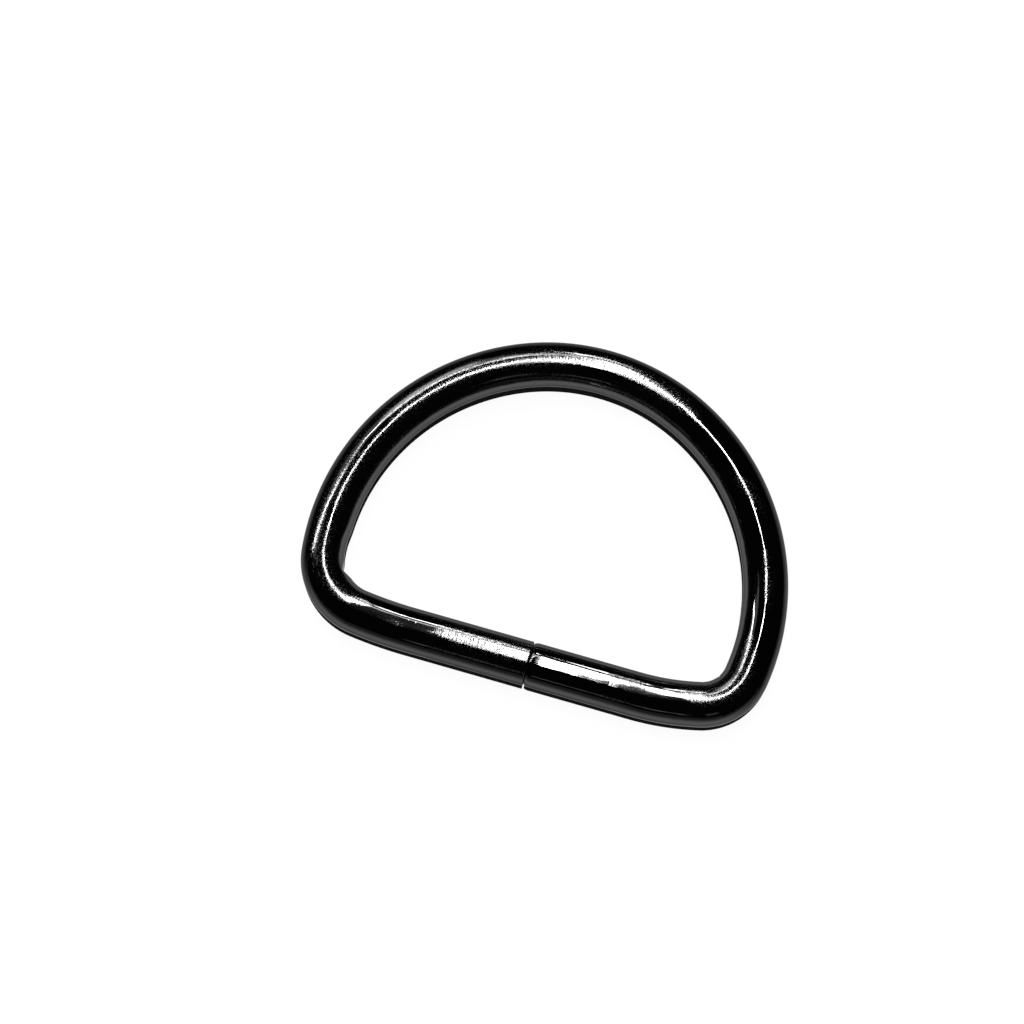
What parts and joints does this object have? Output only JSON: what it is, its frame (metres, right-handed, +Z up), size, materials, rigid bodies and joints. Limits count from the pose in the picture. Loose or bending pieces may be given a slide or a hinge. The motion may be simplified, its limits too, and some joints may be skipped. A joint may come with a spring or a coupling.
{
  "type": "wire d ring",
  "caption": "D ring bent from one round wire, with a straight bar for a strap, a round bow for a hook and a plain butt joint in the bar.",
  "frame": {"origin": "on the surface that the ring lies on, under the middle of the ring's outer box", "axes": "+X along the straight bar to the right, +Y from the bar to the bow, +Z up out of the ring's plane"},
  "size_m": [0.0324, 0.0236, 0.003],
  "materials": {
    "black_nickel": "polished black nickel plating on drawn steel wire, near-black and mirror-like, with fine draw lines and small pits"
  },
  "bodies": {
    "root": {"ring": "black_nickel"}
  },
  "joints": []
}
